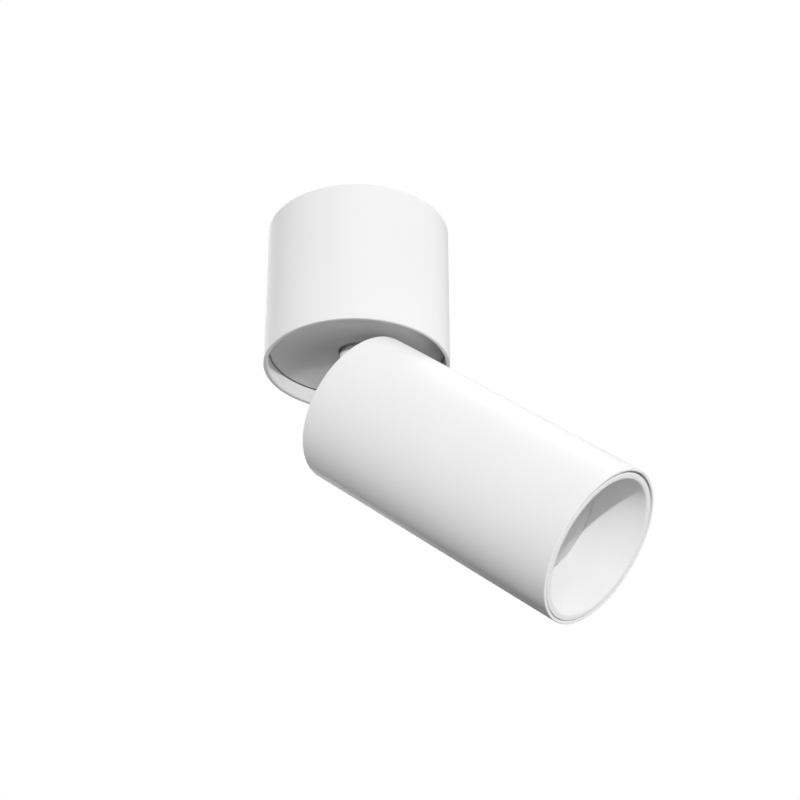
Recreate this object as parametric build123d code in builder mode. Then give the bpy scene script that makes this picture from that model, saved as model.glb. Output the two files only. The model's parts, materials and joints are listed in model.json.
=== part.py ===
from build123d import *

import os
from math import cos, radians, sin, sqrt

os.makedirs("parts", exist_ok=True)

# A surface mounted ceiling spotlight: a round base on the ceiling, a hollow neck that
# turns in it, and a tubular head that tilts on the neck and holds a twist-lock lamp.
# Millimetres, +Z up. The origin is the centre of the face that lies on the ceiling.

# ---------------------------------------------------------------- driving dimensions
# Fits. Threads are plain: a screw's shank stands off its hole by thread_fit.
thread_fit = 0.05
running_fit = 0.06
press_gap = 0.02
slip_gap = 0.3
seat_gap = 0.1

# Base shell and cover disc
base_radius = 36.0
base_height = 60.4
shell_wall = 1.7
shell_edge_round = 0.3
disc_recess = 6.3
disc_thickness = 1.6
disc_edge_gap = 0.55
disc_edge_round = 0.4
neck_hole_gap = 1.7
boss_radius = 3.0
boss_height = 3.0
disc_screw_inset = 8.3
disc_screw_count = 3
disc_screw_turn = 90.0
disc_screw_bite = 3.4

# Sheet metal inside the base
frame_sheet = 1.5
arm_inset = 1.5
arm_width = 16.0
arm_top_gap = 3.0
bracket_sheet = 1.5
bracket_width = 22.0
tab_width = 14.0
tab_drop = 16.0
ceiling_slot_inset = 7.7
ceiling_slot_length = 9.0
ceiling_slot_radius = 2.2
cable_hole_radius = 5.0
grommet_bore_radius = 3.6
grommet_flange = 1.6
grommet_flange_height = 1.5
grommet_edge_round = 0.5
side_screw_radius = 2.0
side_screw_drop = 10.0
side_screw_sink = 0.4
side_screw_reach = 1.5
side_socket_radius = 1.15
side_socket_depth = 2.2

# Screws with a pan head, by thread
m3_radius = 1.5
m3_head_radius = 2.75
m3_head_height = 1.8
m3_flat_head_radius = 3.0
countersink_angle = 45.0
m25_radius = 1.25
m25_head_radius = 2.2
m25_head_height = 1.5
m4_radius = 2.0
m4_head_radius = 3.6
m4_head_height = 2.4
drive_slot_width = 0.7
drive_slot_depth = 0.8

# Terminal block, earth screw and cord clamp on the frame's web
pole_pitch = 9.0
pole_count = 3
block_depth = 13.0
block_height = 12.0
block_wall_gap = 1.85
block_edge = 0.8
tube_outer_radius = 2.4
tube_wall = 0.8
tube_height = 5.6
tube_inset = 1.0
clamp_screw_spacing = 6.5
clamp_screw_radius = 1.2
clamp_screw_length = 4.2
well_radius = 1.8
earth_screw_inset = 9.5
earth_screw_turn = 43.4
earth_washer_radius = 4.4
earth_washer_thickness = 0.8
cord_clamp_inset = 9.2
cord_clamp_turn = 137.4
cord_clamp_length = 15.0
cord_clamp_width = 5.0
cord_clamp_strap = 1.4
cord_radius = 3.2
cord_clamp_screw_spacing = 11.4

# Swivel, from the neck's shoulder up
friction_washer_thickness = 0.5
friction_washer_radius = 8.0
spigot_radius = 5.0
spigot_flat = 4.3
spigot_end = 1.6
bush_wall = 1.0
bush_flange_radius = 9.0
bush_flange_height = 1.0
stop_washer_radius = 9.0
stop_washer_thickness = 1.0
stop_tooth_gap = 1.5
stop_tooth_width = 2.4
stop_pin_inset = 1.0
stop_pin_radius = 1.0
stop_pin_over = 1.0
spring_radius = 8.5
spring_thickness = 0.7
spring_cone = 0.7
nut_washer_radius = 8.5
nut_washer_thickness = 1.0
nut_flats = 14.0
nut_height = 4.5
neck_bore_radius = 2.7
liner_wall = 0.6
liner_length = 8.0
liner_flange_radius = 4.2
liner_flange_height = 0.8

# Neck and tilt pivot
neck_radius = 6.6
neck_groove_radius = 5.4
neck_groove_height = 3.3
neck_groove_drop = 0.3
neck_edge_round = 1.0
knuckle_half_width = 5.0
knuckle_top = 7.5
pivot_washer_thickness = 0.5
pivot_washer_radius = 4.5
pivot_screw_bite = 2.1
pivot_standoff = 1.5
ear_thickness = 2.6
ear_radius = 5.0
bracket_base = 2.0
bracket_rim = 4.0
bracket_overhang = 4.0
slot_clearance = 0.8
slot_side_gap = 0.4
slot_corner = 2.0

# Head. The rest pose is the head as it hangs in the picture: tilt is measured from
# straight down, azimuth from +X, and tilt_limit is where the head's edge nears the disc.
head_tilt = 51.3
head_azimuth = -23.7
tilt_limit = 54.3
head_disc_gap = 0.6
head_length = 117.0
head_wall = 2.2
head_back_wall = 2.5
head_back_round = 0.5
back_plate_round = 0.3
head_rim_round = 0.35
ring_seat_wall = 1.2
ring_seat_depth = 2.6
back_screw_spacing = 25.0
pillar_bite_share = 0.3
standoff_radius = 3.2

# Front ring with its cone, and the band that holds it
ring_gap = 0.45
ring_mouth_inset = 3.9
ring_edge_round = 0.5
ring_flange = 2.5
cone_cover = 0.4
cone_depth = 19.7
cone_wall = 1.3
collar_length = 4.5
band_radius = 0.8
band_squeeze = 0.05

# Lamp, by the usual sizes of a 50 mm twist-lock reflector lamp
lamp_gap = 0.15
lamp_radius = 25.0
lamp_side_gap = 2.8
lamp_length = 47.0
lamp_rim_length = 9.0
lamp_neck_radius = 15.0
lamp_neck_length = 14.0
lamp_cap_radius = 14.0
lamp_cap_length = 11.0
lamp_cap_edge = 1.5
lamp_shell = 1.6
lamp_bowl_depth = 12.0
lens_inset = 2.0
lens_thickness = 1.6
board_inset = 4.0
board_thickness = 1.2
pin_spacing = 10.0
pin_radius = 1.6
pin_length = 7.0
pin_foot_radius = 2.5
pin_foot_length = 2.8

# Lampholder and its plate
holder_gap = 0.3
holder_length = 27.0
holder_width = 17.0
holder_height = 19.8
holder_corner = 3.0
holder_pocket_gap = 0.3
holder_screw_spacing = 19.0
holder_screw_bite = 6.0
plate_sheet = 1.5
plate_edge = 4.0
plate_corner = 3.0
plate_lead_radius = 3.0
lead_radius = 0.9
lead_gap = 0.2
lead_entry = 5.0
lead_end_clearance = 3.0
lead_tube_reach = 4.0
# Each lead leaves its brass tube level, climbs beside the nut and drops into the neck:
# the run out of the block, then how far aside of the neck's mouth it is, what share of
# the way to the block is left, and how far above the mouth it is.
lead_run_out = 4.0
lead_rise = ((6.4, 0.68, 1.2), (3.1, 0.32, 6.5))
lead_crest = 6.5
lead_bend_share = 0.45

# ---------------------------------------------------------------- worked out from them
shell_inner_radius = base_radius - shell_wall
disc_bottom = -base_height + disc_recess
disc_top = disc_bottom + disc_thickness
web_bottom = disc_top + boss_height
web_top = web_bottom + frame_sheet
arm_outer = shell_inner_radius - arm_inset
arm_inner = arm_outer - frame_sheet
tab_outer = arm_inner - seat_gap
tab_inner = tab_outer - bracket_sheet
ceiling_hole_spacing = 2 * (tab_inner - ceiling_slot_inset)
neck_shoulder = web_bottom - friction_washer_thickness
groove_bottom = disc_bottom - neck_groove_drop
bush_top = web_top + bush_flange_height
stop_washer_top = bush_top + stop_washer_thickness
spring_top = stop_washer_top + spring_thickness + spring_cone
nut_bottom = spring_top + nut_washer_thickness
nut_top = nut_bottom + nut_height
spigot_top = nut_top + spigot_end


def around(inset, turn):
    """A place on the web, as its distance in from the shell's wall and its angle from +X."""
    distance = shell_inner_radius - inset
    return (distance * cos(radians(turn)), distance * sin(radians(turn)))


# The block's back corners, the screws and the clamp keep their distance from the shell.
disc_screw_circle = shell_inner_radius - disc_screw_inset
earth_screw_place = around(earth_screw_inset, earth_screw_turn)
cord_clamp_place = around(cord_clamp_inset, cord_clamp_turn)
block_length = pole_pitch * pole_count
block_reach = shell_inner_radius - block_wall_gap
block_setback = sqrt(block_reach**2 - (block_length / 2) ** 2) - block_depth
stop_tooth_reach = block_setback - stop_tooth_gap
stop_pin_circle = stop_tooth_reach - stop_pin_inset

# The lamp sets the head's width, and the cone's end just covers the edge of its lens.
head_inner_radius = lamp_radius + lamp_side_gap
head_radius = head_inner_radius + head_wall
lens_radius = lamp_radius - lens_inset
board_radius = lens_radius - board_inset
ring_mouth_radius = head_radius - ring_mouth_inset
cone_end_radius = lens_radius - cone_cover

# The head's far edge just clears the disc at the tilt limit, which sets the pivot's height.
limit_sine = sin(radians(tilt_limit))
limit_cosine = cos(radians(tilt_limit))
edge_rise = head_radius * limit_sine - pivot_standoff * limit_cosine
pivot_z = disc_bottom - head_disc_gap - edge_rise

# Directions of the head at rest
swing = Vector(cos(radians(head_azimuth)), sin(radians(head_azimuth)), 0)
tilt_axis = Vector(sin(radians(head_azimuth)), -cos(radians(head_azimuth)), 0)
head_forward = swing * sin(radians(head_tilt)) - Vector(0, 0, cos(radians(head_tilt)))
head_up = swing * cos(radians(head_tilt)) + Vector(0, 0, sin(radians(head_tilt)))
pivot = Vector(0, 0, pivot_z)
head_line = Axis(pivot, head_forward)
# Across the head: local X is the head's upper side, local Y runs along the tilt pivot.
head_cross = Plane(origin=pivot, x_dir=head_up, z_dir=head_forward)
# Half section of the head: local X is the radius, local Y the distance forward.
head_half = Plane(origin=pivot, x_dir=head_up, z_dir=-tilt_axis)
# Side view of an ear: local X is the head's upper side, local Y points backward.
ear_side = Plane(origin=pivot, x_dir=head_up, z_dir=tilt_axis)
# Side view of the neck's knuckle: local X is the head's heading, local Y points up.
knuckle_side = Plane(origin=pivot, x_dir=swing, z_dir=tilt_axis)

# The head's stations, as distances forward of the pivot
back_face = pivot_standoff
back_inside = back_face + head_back_wall
bracket_front = back_inside + bracket_base
front_face = back_face + head_length
ring_seat = front_face - ring_seat_depth
cone_end = front_face - cone_depth
lamp_face = cone_end - cone_wall - lamp_gap
lamp_end = lamp_face - lamp_length
holder_face = lamp_end - holder_gap
holder_back = holder_face - holder_height
plate_back = holder_back - plate_sheet
pillar_length = plate_back - bracket_front
pillar_bite = pillar_bite_share * pillar_length

# The slot in the head's back plate stops the neck at each end of the tilt.
slot_up = (neck_radius - pivot_standoff * limit_sine) / limit_cosine + slot_clearance
slot_down = neck_radius + slot_clearance
slot_length = slot_up + slot_down
slot_middle = (slot_up - slot_down) / 2
ear_inner = knuckle_half_width + pivot_washer_thickness
ear_outer = ear_inner + ear_thickness
slot_half_width = ear_outer + slot_side_gap

lead_spacing = 2 * (lead_radius + lead_gap)
m3_hole_radius = m3_radius + thread_fit
m25_hole_radius = m25_radius + thread_fit
m4_hole_radius = m4_radius + thread_fit
side_hole_radius = side_screw_radius + thread_fit

# ---------------------------------------------------------------- base: shell
with BuildPart() as base_shell:
    with BuildSketch(Plane.XY):
        Circle(base_radius)
        Circle(shell_inner_radius, mode=Mode.SUBTRACT)
    extrude(amount=-base_height)
    rim_edges = base_shell.edges().filter_by(GeomType.CIRCLE).group_by(Axis.Z)[0]
    fillet(rim_edges, radius=shell_edge_round)
    with BuildSketch(Plane.YZ):
        with Locations((0, -side_screw_drop)):
            Circle(side_hole_radius)
    extrude(amount=base_radius + shell_wall, both=True, mode=Mode.SUBTRACT)
base_shell.part.label = "base_shell"
export_step(base_shell.part, "parts/base_shell.step")

# ---------------------------------------------------------------- base: ceiling bracket
with BuildPart() as ceiling_bracket:
    with BuildSketch(Plane.XY):
        Rectangle(2 * tab_outer, bracket_width)
    extrude(amount=-bracket_sheet)
    with BuildSketch(Plane.XY):
        for side in (-1, 1):
            with Locations((side * (tab_outer + tab_inner) / 2, 0)):
                Rectangle(bracket_sheet, tab_width)
    extrude(amount=-tab_drop)
    with BuildSketch(Plane.XY):
        Circle(cable_hole_radius)
        with GridLocations(ceiling_hole_spacing, 0, 2, 1):
            SlotOverall(ceiling_slot_length, 2 * ceiling_slot_radius)
    extrude(amount=-bracket_sheet, mode=Mode.SUBTRACT)
    with BuildSketch(Plane.YZ):
        with Locations((0, -side_screw_drop)):
            Circle(side_hole_radius)
    extrude(amount=base_radius, both=True, mode=Mode.SUBTRACT)
ceiling_bracket.part.label = "ceiling_bracket"
export_step(ceiling_bracket.part, "parts/ceiling_bracket.step")

# The grommet is pushed in from below, and its top is flush with the bracket.
with BuildPart() as cable_grommet:
    with BuildSketch(Plane.XY):
        Circle(cable_hole_radius - press_gap)
    extrude(amount=-bracket_sheet)
    with BuildSketch(Plane.XY.offset(-bracket_sheet)):
        Circle(cable_hole_radius + grommet_flange)
    extrude(amount=-grommet_flange_height)
    grommet_edge = cable_grommet.edges().group_by(Axis.Z)[0]
    fillet(grommet_edge, radius=grommet_edge_round)
    with BuildSketch(Plane.XY):
        Circle(grommet_bore_radius)
    extrude(amount=-bracket_sheet - grommet_flange_height, mode=Mode.SUBTRACT)
cable_grommet.part.label = "cable_grommet"
export_step(cable_grommet.part, "parts/cable_grommet.step")

# ---------------------------------------------------------------- base: frame
# A round web above the cover disc, with two arms bent up to the side screws.
block_middle = -(block_setback + block_depth / 2)
bush_hole_radius = spigot_radius + running_fit + bush_wall
with BuildPart() as chassis_frame:
    with BuildSketch(Plane.XY.offset(web_bottom)):
        Circle(arm_outer)
    extrude(amount=frame_sheet)
    with BuildSketch(Plane.XY.offset(web_bottom)):
        for side in (-1, 1):
            with Locations((side * (arm_outer + arm_inner) / 2, 0)):
                Rectangle(frame_sheet, arm_width)
    extrude(amount=-arm_top_gap - web_bottom)
    with BuildSketch(Plane.XY.offset(web_bottom)):
        Circle(bush_hole_radius)
        with Locations((0, stop_pin_circle)):
            Circle(stop_pin_radius + press_gap)
        with PolarLocations(disc_screw_circle, disc_screw_count, disc_screw_turn):
            Circle(m3_hole_radius)
        with Locations((0, block_middle)):
            with GridLocations(pole_pitch, 0, 2, 1):
                Circle(m25_hole_radius)
        with Locations(earth_screw_place):
            Circle(m4_hole_radius)
        with Locations(cord_clamp_place):
            with GridLocations(cord_clamp_screw_spacing, 0, 2, 1):
                Circle(m25_hole_radius)
    extrude(amount=frame_sheet, mode=Mode.SUBTRACT)
    with BuildSketch(Plane.YZ):
        with Locations((0, -side_screw_drop)):
            Circle(side_hole_radius)
    extrude(amount=base_radius, both=True, mode=Mode.SUBTRACT)
chassis_frame.part.label = "chassis_frame"
export_step(chassis_frame.part, "parts/chassis_frame.step")

# Grub screws that hold the shell and the frame to the bracket's tabs
side_screw_outer = base_radius - side_screw_sink
side_screw_length = side_screw_outer - tab_inner + side_screw_reach
with BuildPart() as side_screws:
    for side in (-1, 1):
        screw_end = Plane(
            origin=(side * side_screw_outer, 0, -side_screw_drop),
            x_dir=(0, 1, 0),
            z_dir=(-side, 0, 0),
        )
        with BuildSketch(screw_end):
            Circle(side_screw_radius)
        extrude(amount=side_screw_length)
        with BuildSketch(screw_end):
            RegularPolygon(side_socket_radius, 6)
        extrude(amount=side_socket_depth, mode=Mode.SUBTRACT)
side_screws.part.label = "side_screws"
export_step(side_screws.part, "parts/side_screws.step")

# ---------------------------------------------------------------- base: cover disc
disc_screw_tip = web_bottom - disc_screw_bite
with BuildPart() as cover_disc:
    with BuildSketch(Plane.XY.offset(disc_bottom)):
        Circle(shell_inner_radius - disc_edge_gap)
    extrude(amount=disc_thickness)
    lower_edge = cover_disc.edges().group_by(Axis.Z)[0]
    fillet(lower_edge, radius=disc_edge_round)
    with BuildSketch(Plane.XY.offset(disc_top)):
        with PolarLocations(disc_screw_circle, disc_screw_count, disc_screw_turn):
            Circle(boss_radius)
    extrude(amount=boss_height)
    with BuildSketch(Plane.XY.offset(web_bottom)):
        with PolarLocations(disc_screw_circle, disc_screw_count, disc_screw_turn):
            Circle(m3_hole_radius)
    extrude(amount=-disc_screw_bite - seat_gap, mode=Mode.SUBTRACT)
    with BuildSketch(Plane.XY.offset(disc_bottom)):
        Circle(neck_radius + neck_hole_gap)
    extrude(amount=disc_thickness, mode=Mode.SUBTRACT)
cover_disc.part.label = "cover_disc"
export_step(cover_disc.part, "parts/cover_disc.step")

with BuildPart() as disc_screws:
    with BuildSketch(Plane.XY.offset(disc_screw_tip)):
        with PolarLocations(disc_screw_circle, disc_screw_count, disc_screw_turn):
            Circle(m3_radius)
    extrude(amount=web_top - disc_screw_tip)
    with BuildSketch(Plane.XY.offset(web_top)):
        with PolarLocations(disc_screw_circle, disc_screw_count, disc_screw_turn):
            Circle(m3_head_radius)
    extrude(amount=m3_head_height)
    with BuildSketch(Plane.XY.offset(web_top + m3_head_height)):
        with PolarLocations(disc_screw_circle, disc_screw_count, disc_screw_turn):
            Rectangle(2 * m3_head_radius, drive_slot_width)
    extrude(amount=-drive_slot_depth, mode=Mode.SUBTRACT)
disc_screws.part.label = "disc_screws"
export_step(disc_screws.part, "parts/disc_screws.step")

# ---------------------------------------------------------------- base: wiring
block_top = web_top + block_height
tube_axis_z = web_top + tube_height
block_front = Plane(origin=(0, -block_setback, tube_axis_z), x_dir=(-1, 0, 0), z_dir=(0, 1, 0))
with BuildPart() as terminal_block:
    with BuildSketch(Plane.XY.offset(web_top)):
        with Locations((0, block_middle)):
            Rectangle(block_length, block_depth)
    extrude(amount=block_height)
    chamfer(terminal_block.edges().group_by(Axis.Z)[-1], length=block_edge)
    with BuildSketch(block_front):
        with GridLocations(pole_pitch, 0, pole_count, 1):
            Circle(tube_outer_radius + thread_fit)
    extrude(amount=-block_depth, mode=Mode.SUBTRACT)
    with BuildSketch(Plane.XY.offset(block_top)):
        with Locations((0, block_middle)):
            with GridLocations(pole_pitch, clamp_screw_spacing, pole_count, 2):
                Circle(well_radius)
    extrude(amount=tube_axis_z - block_top, mode=Mode.SUBTRACT)
    with BuildSketch(Plane.XY.offset(web_top)):
        with Locations((0, block_middle)):
            with GridLocations(pole_pitch, 0, 2, 1):
                Circle(m25_hole_radius)
    extrude(amount=block_height, mode=Mode.SUBTRACT)
terminal_block.part.label = "terminal_block"
export_step(terminal_block.part, "parts/terminal_block.step")

with BuildPart() as terminal_tubes:
    with BuildSketch(block_front.offset(-tube_inset)):
        with GridLocations(pole_pitch, 0, pole_count, 1):
            Circle(tube_outer_radius)
            Circle(tube_outer_radius - tube_wall, mode=Mode.SUBTRACT)
    extrude(amount=-block_depth + 2 * tube_inset)
    with BuildSketch(Plane.XY.offset(tube_axis_z)):
        with Locations((0, block_middle)):
            with GridLocations(pole_pitch, clamp_screw_spacing, pole_count, 2):
                Circle(clamp_screw_radius + thread_fit)
    extrude(amount=tube_outer_radius, mode=Mode.SUBTRACT)
terminal_tubes.part.label = "terminal_tubes"
export_step(terminal_tubes.part, "parts/terminal_tubes.step")

# The terminal screws end on the leads.
clamp_screw_tip = tube_axis_z + lead_radius + thread_fit
with BuildPart() as terminal_screws:
    with BuildSketch(Plane.XY.offset(clamp_screw_tip)):
        with Locations((0, block_middle)):
            with GridLocations(pole_pitch, clamp_screw_spacing, pole_count, 2):
                Circle(clamp_screw_radius)
    extrude(amount=clamp_screw_length)
    with BuildSketch(Plane.XY.offset(clamp_screw_tip + clamp_screw_length)):
        with Locations((0, block_middle)):
            with GridLocations(pole_pitch, clamp_screw_spacing, pole_count, 2):
                Rectangle(2 * clamp_screw_radius, drive_slot_width)
    extrude(amount=-drive_slot_depth, mode=Mode.SUBTRACT)
terminal_screws.part.label = "terminal_screws"
export_step(terminal_screws.part, "parts/terminal_screws.step")

with BuildPart() as block_screws:
    with BuildSketch(Plane.XY.offset(web_bottom)):
        with Locations((0, block_middle)):
            with GridLocations(pole_pitch, 0, 2, 1):
                Circle(m25_radius)
    extrude(amount=block_top - web_bottom)
    with BuildSketch(Plane.XY.offset(block_top)):
        with Locations((0, block_middle)):
            with GridLocations(pole_pitch, 0, 2, 1):
                Circle(m25_head_radius)
    extrude(amount=m25_head_height)
    with BuildSketch(Plane.XY.offset(block_top + m25_head_height)):
        with Locations((0, block_middle)):
            with GridLocations(pole_pitch, 0, 2, 1):
                Rectangle(2 * m25_head_radius, drive_slot_width)
    extrude(amount=-drive_slot_depth, mode=Mode.SUBTRACT)
block_screws.part.label = "block_screws"
export_step(block_screws.part, "parts/block_screws.step")

with BuildPart() as earth_washer:
    with BuildSketch(Plane.XY.offset(web_top)):
        with Locations(earth_screw_place):
            Circle(earth_washer_radius)
            Circle(m4_hole_radius, mode=Mode.SUBTRACT)
    extrude(amount=earth_washer_thickness)
earth_washer.part.label = "earth_washer"
export_step(earth_washer.part, "parts/earth_washer.step")

earth_head_bottom = web_top + earth_washer_thickness
with BuildPart() as earth_screw:
    with BuildSketch(Plane.XY.offset(web_bottom)):
        with Locations(earth_screw_place):
            Circle(m4_radius)
    extrude(amount=earth_head_bottom - web_bottom)
    with BuildSketch(Plane.XY.offset(earth_head_bottom)):
        with Locations(earth_screw_place):
            Circle(m4_head_radius)
    extrude(amount=m4_head_height)
    with BuildSketch(Plane.XY.offset(earth_head_bottom + m4_head_height)):
        with Locations(earth_screw_place):
            Rectangle(2 * m4_head_radius, drive_slot_width)
    extrude(amount=-drive_slot_depth, mode=Mode.SUBTRACT)
earth_screw.part.label = "earth_screw"
export_step(earth_screw.part, "parts/earth_screw.step")

# A strap bent over the supply cable, with its feet on the web
clamp_side = Plane(
    origin=(cord_clamp_place[0], cord_clamp_place[1] + cord_clamp_width / 2, web_top),
    x_dir=(1, 0, 0),
    z_dir=(0, -1, 0),
)
with BuildPart() as cord_clamp:
    with BuildSketch(clamp_side):
        with Locations((0, cord_clamp_strap / 2)):
            Rectangle(cord_clamp_length, cord_clamp_strap)
        Circle(cord_radius + cord_clamp_strap)
        Circle(cord_radius, mode=Mode.SUBTRACT)
        with Locations((0, -cord_radius - cord_clamp_strap)):
            Rectangle(
                cord_clamp_length, 2 * (cord_radius + cord_clamp_strap), mode=Mode.SUBTRACT
            )
    extrude(amount=cord_clamp_width)
    with BuildSketch(Plane.XY.offset(web_top)):
        with Locations(cord_clamp_place):
            with GridLocations(cord_clamp_screw_spacing, 0, 2, 1):
                Circle(m25_hole_radius)
    extrude(amount=cord_clamp_strap, mode=Mode.SUBTRACT)
cord_clamp.part.label = "cord_clamp"
export_step(cord_clamp.part, "parts/cord_clamp.step")

cord_clamp_top = web_top + cord_clamp_strap
with BuildPart() as cord_clamp_screws:
    with BuildSketch(Plane.XY.offset(web_bottom)):
        with Locations(cord_clamp_place):
            with GridLocations(cord_clamp_screw_spacing, 0, 2, 1):
                Circle(m25_radius)
    extrude(amount=cord_clamp_top - web_bottom)
    with BuildSketch(Plane.XY.offset(cord_clamp_top)):
        with Locations(cord_clamp_place):
            with GridLocations(cord_clamp_screw_spacing, 0, 2, 1):
                Circle(cord_clamp_screw_spacing / 2 - cord_radius - cord_clamp_strap)
    extrude(amount=m25_head_height)
cord_clamp_screws.part.label = "cord_clamp_screws"
export_step(cord_clamp_screws.part, "parts/cord_clamp_screws.step")

# ---------------------------------------------------------------- swivel bearing
with BuildPart() as swivel_bush:
    with BuildSketch(Plane.XY.offset(web_bottom)):
        Circle(bush_hole_radius - press_gap)
    extrude(amount=frame_sheet)
    with BuildSketch(Plane.XY.offset(web_top)):
        Circle(bush_flange_radius)
    extrude(amount=bush_flange_height)
    with BuildSketch(Plane.XY.offset(web_bottom)):
        Circle(spigot_radius + running_fit)
    extrude(amount=frame_sheet + bush_flange_height, mode=Mode.SUBTRACT)
swivel_bush.part.label = "swivel_bush"
export_step(swivel_bush.part, "parts/swivel_bush.step")

with BuildPart() as friction_washer:
    with BuildSketch(Plane.XY.offset(neck_shoulder)):
        Circle(friction_washer_radius)
        Circle(spigot_radius + running_fit, mode=Mode.SUBTRACT)
    extrude(amount=friction_washer_thickness)
friction_washer.part.label = "friction_washer"
export_step(friction_washer.part, "parts/friction_washer.step")

# The tooth on the stop washer meets this pin at each end of the turn.
with BuildPart() as stop_pin:
    with BuildSketch(Plane.XY.offset(web_bottom)):
        with Locations((0, stop_pin_circle)):
            Circle(stop_pin_radius)
    extrude(amount=stop_washer_top + stop_pin_over - web_bottom)
stop_pin.part.label = "stop_pin"
export_step(stop_pin.part, "parts/stop_pin.step")

with BuildPart() as stop_washer:
    with BuildSketch(Plane.XY.offset(bush_top)):
        Circle(stop_washer_radius)
        with Locations((0, -stop_tooth_reach / 2)):
            Rectangle(stop_tooth_width, stop_tooth_reach)
        with BuildSketch(mode=Mode.SUBTRACT):
            Circle(spigot_radius + thread_fit)
            Rectangle(
                4 * spigot_radius, 2 * (spigot_flat + thread_fit), mode=Mode.INTERSECT
            )
    extrude(amount=stop_washer_thickness)
stop_washer.part.label = "stop_washer"
export_step(stop_washer.part, "parts/stop_washer.step")

# A dished spring washer: it rises from its outer edge to its bore.
spring_bore = spigot_radius + slip_gap
with BuildPart() as spring_washer:
    with BuildSketch(Plane.XZ):
        with BuildLine():
            Polyline(
                (spring_radius, stop_washer_top),
                (spring_radius, stop_washer_top + spring_thickness),
                (spring_bore, spring_top),
                (spring_bore, stop_washer_top + spring_cone),
                close=True,
            )
        make_face()
    revolve(axis=Axis.Z)
spring_washer.part.label = "spring_washer"
export_step(spring_washer.part, "parts/spring_washer.step")

with BuildPart() as nut_washer:
    with BuildSketch(Plane.XY.offset(spring_top)):
        Circle(nut_washer_radius)
        Circle(spigot_radius + seat_gap, mode=Mode.SUBTRACT)
    extrude(amount=nut_washer_thickness)
nut_washer.part.label = "nut_washer"
export_step(nut_washer.part, "parts/nut_washer.step")

with BuildPart() as swivel_nut:
    with BuildSketch(Plane.XY.offset(nut_bottom)):
        RegularPolygon(nut_flats / 2, 6, major_radius=False)
        Circle(spigot_radius + thread_fit, mode=Mode.SUBTRACT)
    extrude(amount=nut_height)
swivel_nut.part.label = "swivel_nut"
export_step(swivel_nut.part, "parts/swivel_nut.step")

# ---------------------------------------------------------------- neck
with BuildPart() as neck_post:
    # The threaded spigot, with two flats that key the stop washer
    with BuildSketch(Plane.XY.offset(neck_shoulder)):
        Circle(spigot_radius)
    extrude(amount=spigot_top - neck_shoulder)
    with BuildSketch(Plane.XY.offset(bush_top)):
        Circle(spigot_radius)
        Rectangle(4 * spigot_radius, 2 * spigot_flat, mode=Mode.SUBTRACT)
    extrude(amount=spigot_top - bush_top, mode=Mode.SUBTRACT)
    # The post that shows between the disc and the head
    with BuildSketch(Plane.XY.offset(pivot_z)):
        Circle(neck_radius)
    extrude(amount=neck_shoulder - pivot_z)
    # A groove where it passes the disc, so that a dark line parts the two
    with BuildSketch(Plane.XY.offset(groove_bottom)):
        Circle(2 * neck_radius)
        Circle(neck_groove_radius, mode=Mode.SUBTRACT)
    extrude(amount=neck_groove_height, mode=Mode.SUBTRACT)
    round_edges = neck_post.edges().filter_by(GeomType.CIRCLE)
    groove_edges = round_edges.filter_by_position(Axis.Z, groove_bottom, groove_bottom)
    fillet(groove_edges.sort_by(SortBy.RADIUS)[-1], radius=neck_edge_round)
    # Its round end about the pivot
    with BuildSketch(knuckle_side):
        Circle(neck_radius)
    extrude(amount=neck_radius, both=True)
    with BuildSketch(Plane.XY.offset(pivot_z - neck_radius)):
        Circle(neck_radius)
    extrude(amount=spigot_top - pivot_z + neck_radius, mode=Mode.INTERSECT)
    # The two flats that the ears run on
    for side in (-1, 1):
        with BuildSketch(knuckle_side.offset(side * knuckle_half_width)):
            with Locations((0, (knuckle_top - neck_radius) / 2)):
                Rectangle(4 * neck_radius, knuckle_top + neck_radius)
        extrude(amount=side * neck_radius, mode=Mode.SUBTRACT)
    # The lead's bore, and the holes for the pivot screws
    with BuildSketch(Plane.XY.offset(spigot_top)):
        Circle(neck_bore_radius)
    extrude(amount=-spigot_top + pivot_z - neck_radius, mode=Mode.SUBTRACT)
    with BuildSketch(knuckle_side):
        Circle(m3_hole_radius)
    extrude(amount=knuckle_half_width, both=True, mode=Mode.SUBTRACT)
neck_post.part.label = "neck_post"
export_step(neck_post.part, "parts/neck_post.step")

# A plastic liner keeps the leads off the spigot's edge.
with BuildPart() as neck_liner:
    with BuildSketch(Plane.XY.offset(spigot_top - liner_length)):
        Circle(neck_bore_radius - thread_fit)
    extrude(amount=liner_length)
    with BuildSketch(Plane.XY.offset(spigot_top)):
        Circle(liner_flange_radius)
    extrude(amount=liner_flange_height)
    with BuildSketch(Plane.XY.offset(spigot_top - liner_length)):
        Circle(neck_bore_radius - thread_fit - liner_wall)
    extrude(amount=liner_length + liner_flange_height, mode=Mode.SUBTRACT)
neck_liner.part.label = "neck_liner"
export_step(neck_liner.part, "parts/neck_liner.step")

with BuildPart() as pivot_washers:
    for side in (-1, 1):
        with BuildSketch(knuckle_side.offset(side * knuckle_half_width)):
            Circle(pivot_washer_radius)
            Circle(m3_hole_radius, mode=Mode.SUBTRACT)
        extrude(amount=side * pivot_washer_thickness)
pivot_washers.part.label = "pivot_washers"
export_step(pivot_washers.part, "parts/pivot_washers.step")

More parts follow.
